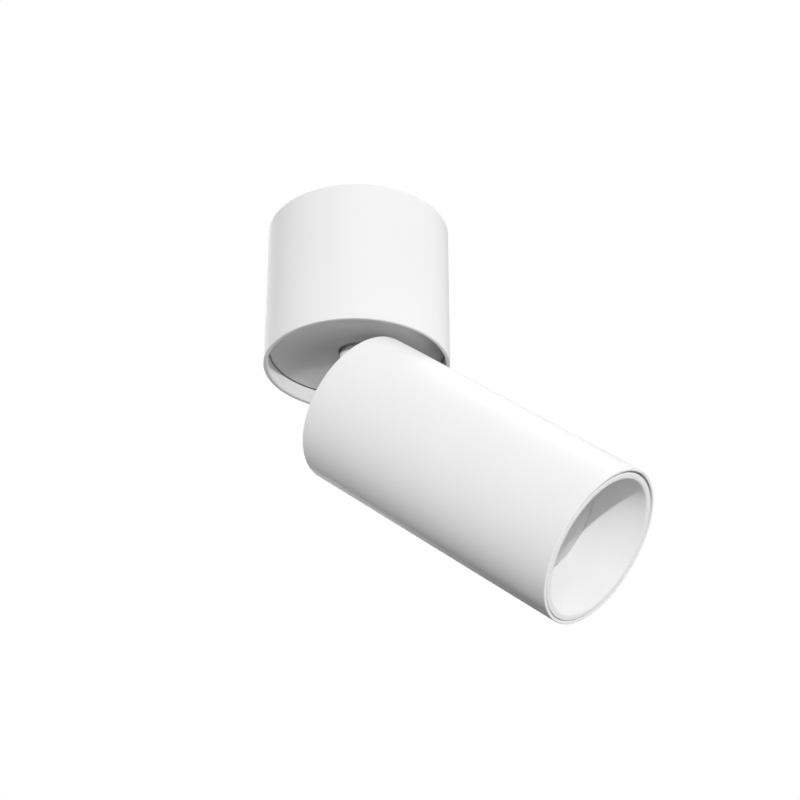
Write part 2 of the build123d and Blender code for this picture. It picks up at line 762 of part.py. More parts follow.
# Flat-headed pivot screws, sunk in the ears and screwed into the knuckle
flat_head_height = m3_flat_head_radius - m3_radius
pivot_screw_tip = knuckle_half_width - pivot_screw_bite
with BuildPart() as pivot_screws:
    for side in (-1, 1):
        with BuildSketch(knuckle_side.offset(side * ear_outer)):
            Circle(m3_flat_head_radius)
        extrude(amount=-side * flat_head_height, taper=countersink_angle)
        with BuildSketch(knuckle_side.offset(side * ear_outer)):
            Circle(m3_radius)
        extrude(amount=-side * (ear_outer - pivot_screw_tip))
        with BuildSketch(knuckle_side.offset(side * ear_outer)):
            RegularPolygon(side_socket_radius, 6)
        extrude(amount=-side * flat_head_height, mode=Mode.SUBTRACT)
pivot_screws.part.label = "pivot_screws"
export_step(pivot_screws.part, "parts/pivot_screws.step")

# ---------------------------------------------------------------- head: tube
with BuildPart() as head_tube:
    with BuildSketch(head_half):
        with BuildLine():
            Polyline(
                (head_inner_radius, back_face),
                (head_radius, back_face),
                (head_radius, front_face),
                (head_radius - ring_seat_wall, front_face),
                (head_radius - ring_seat_wall, ring_seat),
                (head_inner_radius, ring_seat),
                close=True,
            )
        make_face()
    revolve(axis=head_line)
    tube_edges = head_tube.edges().filter_by(GeomType.CIRCLE).group_by(head_line)
    fillet(tube_edges[0], radius=head_back_round)
    rim_corners = head_tube.edges().filter_by(GeomType.CIRCLE).group_by(head_line)[-1]
    fillet(rim_corners, radius=head_rim_round)
head_tube.part.label = "head_tube"
export_step(head_tube.part, "parts/head_tube.step")

# The back plate is pressed into the tube's end, flush with it.
with BuildPart() as back_plate:
    with BuildSketch(head_cross.offset(back_face)):
        Circle(head_inner_radius)
    extrude(amount=head_back_wall)
    plate_edges = back_plate.edges().filter_by(GeomType.CIRCLE).group_by(head_line)[0]
    fillet(plate_edges, radius=back_plate_round)
    with BuildSketch(head_cross.offset(back_face)):
        with Locations((slot_middle, 0)):
            RectangleRounded(slot_length, 2 * slot_half_width, slot_corner)
    extrude(amount=head_back_wall, mode=Mode.SUBTRACT)
    with BuildSketch(head_cross.offset(back_face)):
        with GridLocations(0, back_screw_spacing, 1, 2):
            Circle(m3_flat_head_radius + thread_fit)
    extrude(amount=flat_head_height, taper=countersink_angle, mode=Mode.SUBTRACT)
    with BuildSketch(head_cross.offset(back_face)):
        with GridLocations(0, back_screw_spacing, 1, 2):
            Circle(m3_hole_radius)
    extrude(amount=head_back_wall, mode=Mode.SUBTRACT)
back_plate.part.label = "back_plate"
export_step(back_plate.part, "parts/back_plate.step")

# ---------------------------------------------------------------- head: pivot bracket
bracket_length = slot_length + 2 * bracket_rim
bracket_span = back_screw_spacing + 2 * bracket_overhang
with BuildPart() as pivot_bracket:
    with BuildSketch(head_cross.offset(back_inside)):
        with Locations((slot_middle, 0)):
            RectangleRounded(bracket_length, bracket_span, slot_corner)
            Rectangle(slot_length, 2 * ear_inner, mode=Mode.SUBTRACT)
        with GridLocations(0, back_screw_spacing, 1, 2):
            Circle(m3_hole_radius, mode=Mode.SUBTRACT)
    extrude(amount=bracket_base)
    for side in (-1, 1):
        with BuildSketch(ear_side.offset(side * ear_inner)):
            Circle(ear_radius)
            with Locations((0, -back_inside / 2)):
                Rectangle(2 * ear_radius, back_inside)
        extrude(amount=side * ear_thickness)
        with BuildSketch(ear_side.offset(side * ear_inner)):
            Circle(m3_radius + running_fit)
        extrude(amount=side * ear_thickness, mode=Mode.SUBTRACT)
        with BuildSketch(ear_side.offset(side * ear_outer)):
            Circle(m3_flat_head_radius + running_fit)
        extrude(amount=-side * flat_head_height, taper=countersink_angle, mode=Mode.SUBTRACT)
pivot_bracket.part.label = "pivot_bracket"
export_step(pivot_bracket.part, "parts/pivot_bracket.step")

# Screws through the back plate and the bracket into the pillars
with BuildPart() as back_screws:
    with BuildSketch(head_cross.offset(back_face)):
        with GridLocations(0, back_screw_spacing, 1, 2):
            Circle(m3_flat_head_radius)
    extrude(amount=flat_head_height, taper=countersink_angle)
    with BuildSketch(head_cross.offset(back_face)):
        with GridLocations(0, back_screw_spacing, 1, 2):
            Circle(m3_radius)
    extrude(amount=head_back_wall + bracket_base + pillar_bite)
    with BuildSketch(head_cross.offset(back_face)):
        with GridLocations(0, back_screw_spacing, 1, 2):
            RegularPolygon(side_socket_radius, 6)
    extrude(amount=flat_head_height, mode=Mode.SUBTRACT)
back_screws.part.label = "back_screws"
export_step(back_screws.part, "parts/back_screws.step")

with BuildPart() as pillars:
    with BuildSketch(head_cross.offset(bracket_front)):
        with GridLocations(0, back_screw_spacing, 1, 2):
            RegularPolygon(standoff_radius, 6)
            Circle(m3_hole_radius, mode=Mode.SUBTRACT)
    extrude(amount=pillar_length)
pillars.part.label = "pillars"
export_step(pillars.part, "parts/pillars.step")

# ---------------------------------------------------------------- head: lampholder
plate_span = back_screw_spacing + 2 * plate_edge
plate_height = holder_screw_spacing + 2 * plate_edge
with BuildPart() as holder_plate:
    with BuildSketch(head_cross.offset(plate_back)):
        RectangleRounded(plate_height, plate_span, plate_corner)
        with GridLocations(0, back_screw_spacing, 1, 2):
            Circle(m3_hole_radius, mode=Mode.SUBTRACT)
        with GridLocations(holder_screw_spacing, 0, 2, 1):
            Circle(m3_hole_radius, mode=Mode.SUBTRACT)
        Circle(plate_lead_radius, mode=Mode.SUBTRACT)
    extrude(amount=plate_sheet)
holder_plate.part.label = "holder_plate"
export_step(holder_plate.part, "parts/holder_plate.step")

with BuildPart() as plate_screws:
    with BuildSketch(head_cross.offset(holder_back)):
        with GridLocations(0, back_screw_spacing, 1, 2):
            Circle(m3_head_radius)
    extrude(amount=m3_head_height)
    with BuildSketch(head_cross.offset(holder_back)):
        with GridLocations(0, back_screw_spacing, 1, 2):
            Circle(m3_radius)
    extrude(amount=-plate_sheet - pillar_bite)
    with BuildSketch(head_cross.offset(holder_back + m3_head_height)):
        with GridLocations(0, back_screw_spacing, 1, 2):
            Rectangle(2 * m3_head_radius, drive_slot_width)
    extrude(amount=-drive_slot_depth, mode=Mode.SUBTRACT)
plate_screws.part.label = "plate_screws"
export_step(plate_screws.part, "parts/plate_screws.step")

with BuildPart() as lampholder:
    with BuildSketch(head_cross.offset(holder_back)):
        RectangleRounded(holder_length, holder_width, holder_corner)
    extrude(amount=holder_height)
    with BuildSketch(head_cross.offset(holder_face)):
        with GridLocations(pin_spacing, 0, 2, 1):
            Circle(pin_foot_radius + holder_pocket_gap)
    extrude(amount=-pin_length - slip_gap, mode=Mode.SUBTRACT)
    with BuildSketch(head_cross.offset(holder_back)):
        with GridLocations(holder_screw_spacing, 0, 2, 1):
            Circle(m3_hole_radius)
    extrude(amount=holder_screw_bite + seat_gap, mode=Mode.SUBTRACT)
    with BuildSketch(head_cross.offset(holder_back)):
        with GridLocations(lead_spacing, 0, 2, 1):
            Circle(lead_radius + thread_fit)
    extrude(amount=lead_entry + seat_gap, mode=Mode.SUBTRACT)
lampholder.part.label = "lampholder"
export_step(lampholder.part, "parts/lampholder.step")

with BuildPart() as lampholder_screws:
    with BuildSketch(head_cross.offset(plate_back)):
        with GridLocations(holder_screw_spacing, 0, 2, 1):
            Circle(m3_head_radius)
    extrude(amount=-m3_head_height)
    with BuildSketch(head_cross.offset(plate_back)):
        with GridLocations(holder_screw_spacing, 0, 2, 1):
            Circle(m3_radius)
    extrude(amount=plate_sheet + holder_screw_bite)
    with BuildSketch(head_cross.offset(plate_back - m3_head_height)):
        with GridLocations(holder_screw_spacing, 0, 2, 1):
            Rectangle(2 * m3_head_radius, drive_slot_width)
    extrude(amount=drive_slot_depth, mode=Mode.SUBTRACT)
lampholder_screws.part.label = "lampholder_screws"
export_step(lampholder_screws.part, "parts/lampholder_screws.step")

# ---------------------------------------------------------------- head: lamp
with BuildPart() as lamp_pins:
    with BuildSketch(head_cross.offset(lamp_end)):
        with GridLocations(pin_spacing, 0, 2, 1):
            Circle(pin_radius)
    extrude(amount=-pin_length)
    with BuildSketch(head_cross.offset(lamp_end - pin_length)):
        with GridLocations(pin_spacing, 0, 2, 1):
            Circle(pin_foot_radius)
    extrude(amount=pin_foot_length)
lamp_pins.part.label = "lamp_pins"
export_step(lamp_pins.part, "parts/lamp_pins.step")

cap_front = lamp_end + lamp_cap_length
with BuildPart() as lamp_cap:
    with BuildSketch(head_half):
        with BuildLine():
            Polyline(
                (0, lamp_end),
                (lamp_cap_radius - lamp_cap_edge, lamp_end),
                (lamp_cap_radius, lamp_end + lamp_cap_edge),
                (lamp_cap_radius, cap_front),
                (0, cap_front),
                close=True,
            )
        make_face()
    revolve(axis=head_line)
lamp_cap.part.label = "lamp_cap"
export_step(lamp_cap.part, "parts/lamp_cap.step")

# The lamp's body is a bowl: a solid neck, a flared reflector and a straight rim.
lamp_neck_front = cap_front + lamp_neck_length
lamp_rim_back = lamp_face - lamp_rim_length
bowl_floor = lamp_face - lamp_bowl_depth
lens_back = lamp_face - lens_thickness
with BuildPart() as lamp_body:
    with BuildSketch(head_half):
        with BuildLine():
            Polyline(
                (0, bowl_floor),
                (0, cap_front),
                (lamp_neck_radius, cap_front),
            )
            flare = Bezier(
                (lamp_neck_radius, cap_front),
                (lamp_neck_radius, lamp_neck_front),
                (lamp_radius, lamp_neck_front),
                (lamp_radius, lamp_rim_back),
            )
            Polyline(
                flare @ 1,
                (lamp_radius, lamp_face),
                (lens_radius + seat_gap, lamp_face),
                (lens_radius + seat_gap, lens_back),
                (lens_radius - lamp_shell, lens_back),
                (board_radius + seat_gap, bowl_floor),
                (0, bowl_floor),
            )
        make_face()
    revolve(axis=head_line)
lamp_body.part.label = "lamp_body"
export_step(lamp_body.part, "parts/lamp_body.step")

with BuildPart() as lamp_board:
    with BuildSketch(head_cross.offset(bowl_floor)):
        Circle(board_radius)
    extrude(amount=board_thickness)
lamp_board.part.label = "lamp_board"
export_step(lamp_board.part, "parts/lamp_board.step")

with BuildPart() as lamp_lens:
    with BuildSketch(head_cross.offset(lens_back)):
        Circle(lens_radius)
    extrude(amount=lens_thickness)
lamp_lens.part.label = "lamp_lens"
export_step(lamp_lens.part, "parts/lamp_lens.step")

# ---------------------------------------------------------------- head: front ring
# One turned piece: a flange flush with the tube's rim, a collar in the tube, and a white
# cone that sets the light back. A rubber band in the collar's groove grips the tube.
ring_radius = head_radius - ring_seat_wall - ring_gap
collar_radius = head_inner_radius - slip_gap
flange_back = front_face - ring_flange
collar_back = flange_back - collar_length
band_middle = (flange_back + collar_back) / 2
band_centre = head_inner_radius - band_squeeze - band_radius
cone_slope = (ring_mouth_radius - cone_end_radius) / cone_depth
cone_back_radius = cone_end_radius + cone_wall + cone_slope * (collar_back - cone_end)
with BuildPart() as front_ring:
    with BuildSketch(head_half):
        with BuildLine():
            Polyline(
                (ring_mouth_radius, front_face),
                (ring_radius, front_face),
                (ring_radius, flange_back),
                (collar_radius, flange_back),
                (collar_radius, collar_back),
                (cone_back_radius, collar_back),
                (cone_end_radius + cone_wall, cone_end - cone_wall),
                (cone_end_radius, cone_end - cone_wall),
                (cone_end_radius, cone_end),
                close=True,
            )
        make_face()
        with Locations((band_centre, band_middle)):
            Circle(band_radius + thread_fit, mode=Mode.SUBTRACT)
    revolve(axis=head_line)
    ring_edges = front_ring.edges().filter_by(GeomType.CIRCLE).group_by(head_line)[-1]
    fillet(ring_edges, radius=ring_edge_round)
front_ring.part.label = "front_ring"
export_step(front_ring.part, "parts/front_ring.step")

with BuildPart() as grip_band:
    with BuildSketch(head_half):
        with Locations((band_centre, band_middle)):
            Circle(band_radius)
    revolve(axis=head_line)
grip_band.part.label = "grip_band"
export_step(grip_band.part, "parts/grip_band.step")

# ---------------------------------------------------------------- leads
# Two single leads run from the terminal block to the lampholder. They are in three
# stretches, one in each moving body: the flexing ends between them are left out.
mouth_z = spigot_top + liner_flange_height


def bend_radii(points):
    """The largest tangent arc for each corner, as a share of its shorter run."""
    radii = []
    for before, corner, after in zip(points, points[1:], points[2:]):
        first = Vector(*corner) - Vector(*before)
        second = Vector(*after) - Vector(*corner)
        half_turn = radians(first.get_angle(second) / 2)
        shorter = min(first.length, second.length)
        radii.append(lead_bend_share * shorter * cos(half_turn) / sin(half_turn))
    return radii


with BuildPart() as base_leads:
    for side in (-1, 1):
        pole_x = side * pole_pitch
        mouth_x = side * lead_spacing / 2
        route = [
            (pole_x, -block_setback - tube_inset - lead_tube_reach, tube_axis_z),
            (pole_x, lead_run_out - block_setback, tube_axis_z),
        ]
        for aside, share, above in lead_rise:
            behind = share * (block_setback - lead_run_out)
            route.append((mouth_x + side * aside, -behind, mouth_z + above))
        route.append((mouth_x, 0, mouth_z + lead_crest))
        route.append((mouth_x, 0, mouth_z + slip_gap))
        route_radii = bend_radii(route)
        print("base lead bend radii", [round(r, 2) for r in route_radii])
        with BuildLine() as lead_path:
            FilletPolyline(*route, radius=route_radii)
        with BuildSketch(Plane(lead_path.line @ 0, z_dir=lead_path.line % 0)):
            Circle(lead_radius)
        sweep(path=lead_path.line)
base_leads.part.label = "base_leads"
export_step(base_leads.part, "parts/base_leads.step")

with BuildPart() as neck_leads:
    with BuildSketch(Plane.XY.offset(mouth_z)):
        with GridLocations(lead_spacing, 0, 2, 1):
            Circle(lead_radius)
    extrude(amount=pivot_z - mouth_z)
neck_leads.part.label = "neck_leads"
export_step(neck_leads.part, "parts/neck_leads.step")

with BuildPart() as head_leads:
    with BuildSketch(head_cross.offset(holder_back + lead_entry)):
        with GridLocations(lead_spacing, 0, 2, 1):
            Circle(lead_radius)
    extrude(amount=neck_radius + lead_end_clearance - holder_back - lead_entry)
head_leads.part.label = "head_leads"
export_step(head_leads.part, "parts/head_leads.step")
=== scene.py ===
import json
from math import cos, pi, radians, sin

import bmesh
import bpy
import numpy as np
from mathutils import Matrix, Vector


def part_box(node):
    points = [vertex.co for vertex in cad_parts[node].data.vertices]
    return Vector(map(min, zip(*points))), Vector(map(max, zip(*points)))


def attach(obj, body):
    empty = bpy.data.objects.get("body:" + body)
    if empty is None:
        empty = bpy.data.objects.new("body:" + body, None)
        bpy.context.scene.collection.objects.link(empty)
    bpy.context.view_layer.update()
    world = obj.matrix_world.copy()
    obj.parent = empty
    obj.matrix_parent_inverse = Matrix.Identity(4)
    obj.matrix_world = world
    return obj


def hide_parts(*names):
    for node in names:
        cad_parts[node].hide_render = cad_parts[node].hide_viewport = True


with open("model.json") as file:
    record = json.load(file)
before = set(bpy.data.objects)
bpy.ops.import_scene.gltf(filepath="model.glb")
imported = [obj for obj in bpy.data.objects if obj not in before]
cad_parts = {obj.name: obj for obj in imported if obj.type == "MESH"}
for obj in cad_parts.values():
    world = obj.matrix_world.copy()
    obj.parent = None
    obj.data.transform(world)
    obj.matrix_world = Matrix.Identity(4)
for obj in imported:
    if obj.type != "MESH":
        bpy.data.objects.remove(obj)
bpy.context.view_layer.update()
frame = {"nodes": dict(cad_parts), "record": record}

# The looks of a white surface mounted ceiling spotlight. Metres, +Z up, and the origin is the
# centre of the base's face on the ceiling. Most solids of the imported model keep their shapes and
# get their finishes here. The base shell, the cover disc, the front ring, the lens, the swivel
# nut and the slotted screws are made again, as surfaces over two parameters. Their sizes are in
# millimetres where a profile is drawn, and become metres when it is turned.

show = bpy.context.scene
MM = 0.001


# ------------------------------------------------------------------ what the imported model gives
def joint(name):
    """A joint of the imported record, by name."""
    return next(entry for entry in frame["record"]["behaviour"]["joints"] if entry["name"] == name)


PIVOT = np.array(joint("tilt")["pos_m"])
TILT_AXIS = np.array(joint("tilt")["axis"])
FORWARD = np.array(joint("ring_pull")["axis"])
HEAD_UP = np.cross(TILT_AXIS, FORWARD)
HEAD_SIDE = np.cross(FORWARD, HEAD_UP)
HEAD_AXES = np.array([HEAD_UP, HEAD_SIDE, FORWARD])
CELL_MARGIN = 1e-6


def points_of(node):
    """All points of a node, one row each."""
    mesh = frame["nodes"][node].data
    points = np.empty(len(mesh.vertices) * 3)
    mesh.vertices.foreach_get("co", points)
    return points.reshape(-1, 3)


def in_head(points):
    """Points in the head's own axes: up, side and forward of the tilt pivot."""
    return (points - PIVOT) @ HEAD_AXES.T


def from_head(points):
    """Points in the head's own axes, back in the model's frame."""
    return PIVOT + points @ HEAD_AXES


def cells(node, across, along):
    """The corners of each solid of a node whose solids stand in a grid seen from above."""
    points = points_of(node)
    plan = points[:, :2]
    low, high = points.min(0), points.max(0)
    found = []
    for i in range(across):
        for j in range(along):
            start = low[:2] + (high - low)[:2] * (i / across, j / along)
            end = low[:2] + (high - low)[:2] * ((i + 1) / across, (j + 1) / along)
            inside = ((plan >= start - CELL_MARGIN) & (plan <= end + CELL_MARGIN)).all(1)
            found.append((points[inside].min(0), points[inside].max(0)))
    return found


# ------------------------------------------------------------------ camera
CAMERA_DISTANCE = 690.293 * MM
CAMERA_RISE = 0.523251524
CAMERA_PAN = -0.0244162014
CAMERA_TILT = -0.0183142599
CAMERA_ROLL = -0.0133278083
CAMERA_LENS = 80.4144
CAMERA_NEAR = 10 * MM


def make_camera():
    """The camera looks up at the base's lower rim from in front of it and below."""
    rim = Vector((0, 0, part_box("base_shell")[0].z))
    back = Vector((0, -cos(CAMERA_RISE), -sin(CAMERA_RISE)))
    forward = -back
    right = forward.cross(Vector((0, 0, 1))).normalized()
    up = right.cross(forward)
    turn = Matrix.Rotation(CAMERA_PAN, 3, up)
    forward, right = turn @ forward, turn @ right
    turn = Matrix.Rotation(CAMERA_TILT, 3, right)
    forward, up = turn @ forward, turn @ up
    turn = Matrix.Rotation(CAMERA_ROLL, 3, forward)
    right, up = turn @ right, turn @ up
    data = bpy.data.cameras.new("camera")
    data.lens = CAMERA_LENS
    data.clip_start = CAMERA_NEAR
    camera = bpy.data.objects.new("camera", data)
    axes = Matrix((right, up, -forward)).transposed().to_4x4()
    camera.matrix_world = Matrix.Translation(rim + back * CAMERA_DISTANCE) @ axes
    show.collection.objects.link(camera)
    show.camera = camera


make_camera()


# ------------------------------------------------------------------ light
LIGHT_TARGET = Vector((0.03, -0.01, -0.09))
SKY_LIGHT = 0.18

# Azimuth from +X and elevation in degrees, distance and width in metres, power in watts. The
# key light is far off and narrow, for the crisp shadow in the cone.
LAMPS = {
    "key_light": (-86.8, -7.4, 3.5, 0.08, 55),
    "front_fill": (-87, -5, 1.7, 0.9, 6.6),
    "upper_fill": (-87, 30, 1.7, 0.9, 2.6),
    "low_fill": (-55, -35, 1.7, 0.9, 5.6),
    "back_fill": (115, 20, 1.7, 1.3, 16),
    "top_fill": (60, 72, 1.7, 0.9, 8),
}


def make_lamp(name, azimuth, elevation, distance, width, power):
    """A round soft light aimed at the object, from an azimuth from +X and an elevation."""
    data = bpy.data.lights.new(name, "AREA")
    data.shape = "DISK"
    data.size = width
    data.energy = power
    lamp = bpy.data.objects.new(name, data)
    turn, rise = radians(azimuth), radians(elevation)
    away = Vector((cos(turn) * cos(rise), sin(turn) * cos(rise), sin(rise)))
    aim = away.to_track_quat("Z", "Y").to_matrix().to_4x4()
    lamp.matrix_world = Matrix.Translation(LIGHT_TARGET + away * distance) @ aim
    show.collection.objects.link(lamp)


def make_sky():
    """A white surround that the camera sees at full white, and that lights the object less."""
    sky = bpy.data.worlds.new("studio")
    show.world = sky
    sky.use_nodes = True
    tree = sky.node_tree
    tree.nodes.clear()
    seen = tree.nodes.new("ShaderNodeBackground")
    seen.inputs["Strength"].default_value = 1.0
    light = tree.nodes.new("ShaderNodeBackground")
    light.inputs["Strength"].default_value = SKY_LIGHT
    for background in (seen, light):
        background.inputs["Color"].default_value = (1, 1, 1, 1)
    path = tree.nodes.new("ShaderNodeLightPath")
    mix = tree.nodes.new("ShaderNodeMixShader")
    out = tree.nodes.new("ShaderNodeOutputWorld")
    tree.links.new(path.outputs["Is Camera Ray"], mix.inputs[0])
    tree.links.new(light.outputs[0], mix.inputs[1])
    tree.links.new(seen.outputs[0], mix.inputs[2])
    tree.links.new(mix.outputs[0], out.inputs[0])


for lamp_name, lamp_setting in LAMPS.items():
    make_lamp(lamp_name, *lamp_setting)
make_sky()
show.view_settings.view_transform = "Standard"


# ------------------------------------------------------------------ finishes
def grey(tone):
    """A neutral colour of this tone."""
    return (tone, tone, tone)


class Finish:
    """One finish: a node material whose shader's sockets are set here one by one."""

    def __init__(self, name, **constants):
        self.material = bpy.data.materials.new(name)
        self.material.use_nodes = True
        self.tree = self.material.node_tree
        self.shader = self.tree.nodes["Principled BSDF"]
        self.place = self.tree.nodes.new("ShaderNodeTexCoord").outputs["Object"]
        for socket, value in constants.items():
            self.shader.inputs[socket.replace("_", " ")].default_value = value

    def node(self, kind, inputs, out=0, **settings):
        """A node with these settings, and these inputs set or linked; gives one output."""
        made = self.tree.nodes.new("ShaderNode" + kind)
        for key, value in settings.items():
            setattr(made, key, value)
        for key, value in inputs.items():
            if isinstance(value, bpy.types.NodeSocket):
                self.tree.links.new(value, made.inputs[key])
            else:
                made.inputs[key].default_value = value
        return made.outputs[out]

    def noise(self, size, detail, stretch=None):
        """Noise whose patches are about this many millimetres, stretched along some axes."""
        place = self.place
        if stretch:
            place = self.node("Mapping", {"Vector": place, "Scale": stretch})
        return self.node("TexNoise", {"Vector": place, "Scale": 1 / (size * MM),
                                      "Detail": detail})

    def ramp(self, value, low, high, start=0.3, end=0.7):
        """A colour or a number that goes from low to high as the value goes from start to end."""
        if isinstance(low, float):
            return self.node("MapRange", {"Value": value, "From Min": start, "From Max": end,
                                          "To Min": low, "To Max": high})
        made = self.tree.nodes.new("ShaderNodeValToRGB")
        self.tree.links.new(value, made.inputs["Fac"])
        for stop, position, colour in zip(made.color_ramp.elements, (start, end), (low, high)):
            stop.position = position
            stop.color = (*colour, 1)
        return made.outputs["Color"]

    def total(self, first, second, share=1.0):
        """The first value plus a share of the second."""
        return self.node("Math", {0: second, 1: share, 2: first}, operation="MULTIPLY_ADD")

    def set(self, socket, value):
        """Links this value to a socket of the shader."""
        self.tree.links.new(value, self.shader.inputs[socket])

    def relief(self, height, depth):
        """Bumps of this height map, as deep as this many millimetres."""
        self.set("Normal", self.node("Bump", {"Height": height, "Distance": depth * MM,
                                              "Strength": 1.0}))


def powder_coat(name, tone, roughness, peel):
    """Powder coating: soft orange peel, fine grains on it, and a slow drift of tone."""
    finish = Finish(name, IOR=1.5, Diffuse_Roughness=0.9)
    drift = finish.noise(size=40, detail=2.0)
    faded = [0.985 * part for part in tone]
    finish.set("Base Color", finish.ramp(drift, faded, tone))
    grains = finish.noise(size=0.35, detail=1.0)
    finish.set("Roughness", finish.ramp(grains, roughness - 0.05, roughness + 0.05))
    orange_peel = finish.noise(size=1.3, detail=1.0)
    finish.relief(finish.total(orange_peel, grains, share=0.5), peel)
    return finish.material


def zinc_sheet(name):
    """Zinc plated sheet steel: rolling lines, patches of crystals, and a dull blue tint."""
    finish = Finish(name, Metallic=1.0, IOR=2.2)
    crystals = finish.node("TexVoronoi", {"Vector": finish.place, "Scale": 260.0}, out=1)
    crystal_tone = finish.node("RGBToBW", {"Color": crystals})
    rolled = finish.noise(size=0.25, detail=3.0, stretch=(0.06, 1.0, 1.0))
    clouds = finish.noise(size=9, detail=3.0)
    tone = finish.total(finish.total(clouds, crystal_tone, share=0.18), rolled, share=0.25)
    finish.set("Base Color", finish.ramp(tone, (0.50, 0.52, 0.54), (0.70, 0.71, 0.72),
                                         start=0.4, end=1.0))
    finish.set("Roughness", finish.ramp(rolled, 0.34, 0.52))
    finish.relief(rolled, depth=0.012)
    return finish.material


def zinc_screw(name):
    """Bright zinc plated steel of turned parts, with fine grains and rubbed tones."""
    finish = Finish(name, Metallic=1.0, IOR=2.2)
    rubbed = finish.noise(size=1.6, detail=4.0)
    finish.set("Base Color", finish.ramp(rubbed, (0.46, 0.47, 0.50), (0.72, 0.73, 0.74)))
    turning = finish.noise(size=0.12, detail=2.0, stretch=(0.2, 0.2, 1.0))
    finish.set("Roughness", finish.ramp(turning, 0.24, 0.42))
    finish.relief(turning, depth=0.008)
    return finish.material


def brass(name):
    """Turned brass, browner where it has tarnished."""
    finish = Finish(name, Metallic=1.0, IOR=1.8)
    tarnish = finish.noise(size=2.2, detail=4.0)
    finish.set("Base Color", finish.ramp(tarnish, (0.50, 0.35, 0.14), (0.83, 0.66, 0.33)))
    finish.set("Roughness", finish.ramp(finish.noise(size=0.3, detail=2.0), 0.22, 0.44))
    finish.relief(finish.noise(size=0.15, detail=1.0), depth=0.006)
    return finish.material


def moulded(name, dark, light, roughness, grain, depth, **constants):
    """A moulded plastic: slight clouds of tone and a fine spark texture."""
    finish = Finish(name, IOR=1.5, **constants)
    finish.set("Base Color", finish.ramp(finish.noise(size=6, detail=3.0), dark, light))
    spark = finish.noise(size=grain, detail=2.0)
    finish.set("Roughness", finish.ramp(spark, roughness - 0.06, roughness + 0.08))
    finish.relief(spark, depth)
    return finish.material


def rubber(name):
    """Black rubber with a grey bloom and a pebbled skin."""
    finish = Finish(name, IOR=1.5)
    bloom = finish.noise(size=1.8, detail=4.0)
    finish.set("Base Color", finish.ramp(bloom, (0.018, 0.018, 0.019), (0.075, 0.074, 0.072),
                                         start=0.35, end=0.8))
    pebbles = finish.noise(size=0.22, detail=2.0)
    finish.set("Roughness", finish.ramp(pebbles, 0.6, 0.85))
    finish.relief(pebbles, depth=0.02)
    return finish.material


def sleeve(name):
    """Woven glass sleeving in silicone: crossing threads under a soft skin."""
    finish = Finish(name, IOR=1.42, Subsurface_Weight=0.08,
                    Subsurface_Radius=(0.002, 0.002, 0.002))
    threads = []
    for lean in (0.7, -0.7):
        leaning = finish.node("Mapping", {"Vector": finish.place, "Rotation": (lean, lean, 0.4)})
        threads.append(finish.node("TexWave", {"Vector": leaning, "Scale": 520.0,
                                               "Distortion": 1.5}, out=1))
    weave = finish.total(*threads)
    finish.set("Base Color", finish.ramp(weave, (0.70, 0.69, 0.66), (0.88, 0.88, 0.86),
                                         start=0.2, end=1.6))
    finish.set("Roughness", finish.ramp(finish.noise(size=0.5, detail=2.0), 0.34, 0.5))
    finish.relief(weave, depth=0.02)
    return finish.material


def steatite(name):
    """Pressed steatite: cream white, faintly speckled, with a thin dull glaze."""
    finish = Finish(name, IOR=1.6, Coat_Weight=0.25, Coat_Roughness=0.3)
    specks = finish.node("TexVoronoi", {"Vector": finish.place, "Scale": 900.0})
    tone = finish.total(finish.noise(size=5, detail=3.0), specks, share=0.4)
    finish.set("Base Color", finish.ramp(tone, (0.72, 0.69, 0.60), (0.90, 0.88, 0.83),
                                         start=0.35, end=0.8))
    finish.set("Roughness", finish.ramp(specks, 0.4, 0.6))
    finish.relief(finish.noise(size=0.4, detail=3.0), depth=0.02)
    return finish.material


def lamp_metal(name):
    """The lamp's pressed aluminium, lacquered: fine drawing lines along its depth."""
    finish = Finish(name, Metallic=1.0, IOR=1.6)
    lines = finish.noise(size=0.3, detail=2.0, stretch=(1.0, 1.0, 0.15))
    clouds = finish.noise(size=8, detail=3.0)
    finish.set("Base Color", finish.ramp(clouds, (0.70, 0.70, 0.71), grey(0.85)))
    finish.set("Roughness", finish.ramp(lines, 0.32, 0.5))
    finish.relief(lines, depth=0.01)
    return finish.material


def frosted_lens(name):
    """The lamp's etched lens: milky white, with a very fine even frost."""
    finish = Finish(name, IOR=1.49, Subsurface_Weight=0.15,
                    Subsurface_Radius=(0.0006, 0.0006, 0.0006))
    frost = finish.noise(size=0.18, detail=2.0)
    clouds = finish.noise(size=14, detail=2.0)
    finish.set("Base Color", finish.ramp(clouds, grey(0.67), grey(0.71)))
    finish.set("Roughness", finish.ramp(frost, 0.5, 0.68))
    finish.relief(frost, depth=0.012)
    return finish.material


